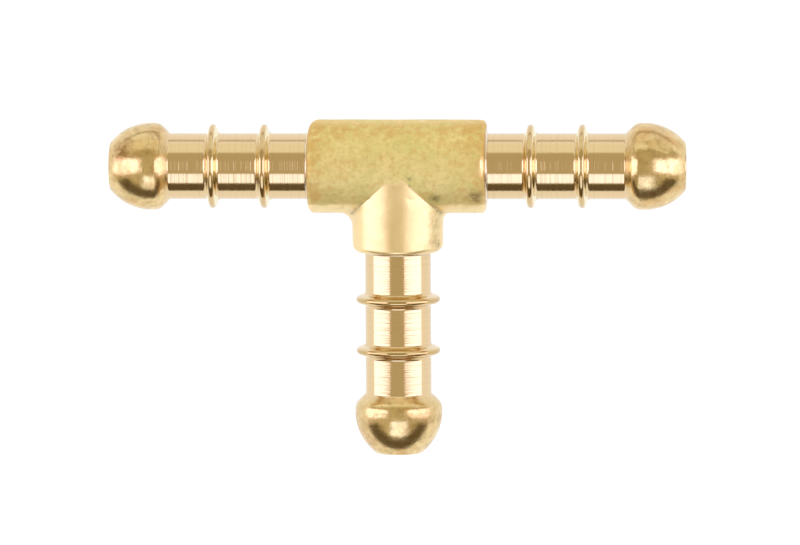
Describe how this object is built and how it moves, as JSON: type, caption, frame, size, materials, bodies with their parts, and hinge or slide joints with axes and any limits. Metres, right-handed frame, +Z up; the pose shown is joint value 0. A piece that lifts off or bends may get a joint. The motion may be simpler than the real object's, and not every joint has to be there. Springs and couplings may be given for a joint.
{
  "type": "barbed hose tee",
  "caption": "Brass equal tee for hose, with a stamped barrel body and a turned tail with a rounded bulb and ribs brazed into each port.",
  "frame": {"origin": "middle of the footprint, on the surface that the tee lies on; the flow axes cross 14.65 mm along +Y from it and 5.7 mm up", "axes": "+X along the run, from the left tail to the right tail; -Y along the branch, towards its tip; +Z up, square to the plane of the three arms"},
  "size_m": [0.07, 0.0406, 0.0114],
  "materials": {
    "forged_brass": "hot-stamped and pickled, matte and mottled",
    "turned_brass": "turned, bright with fine turning marks",
    "braze_alloy": "bright, slightly uneven fillet"
  },
  "bodies": {
    "root": {"tee_body": "forged_brass", "left_tail": "turned_brass", "right_tail": "turned_brass", "branch_tail": "turned_brass", "left_braze_ring": "braze_alloy", "right_braze_ring": "braze_alloy", "branch_braze_ring": "braze_alloy"}
  },
  "joints": []
}
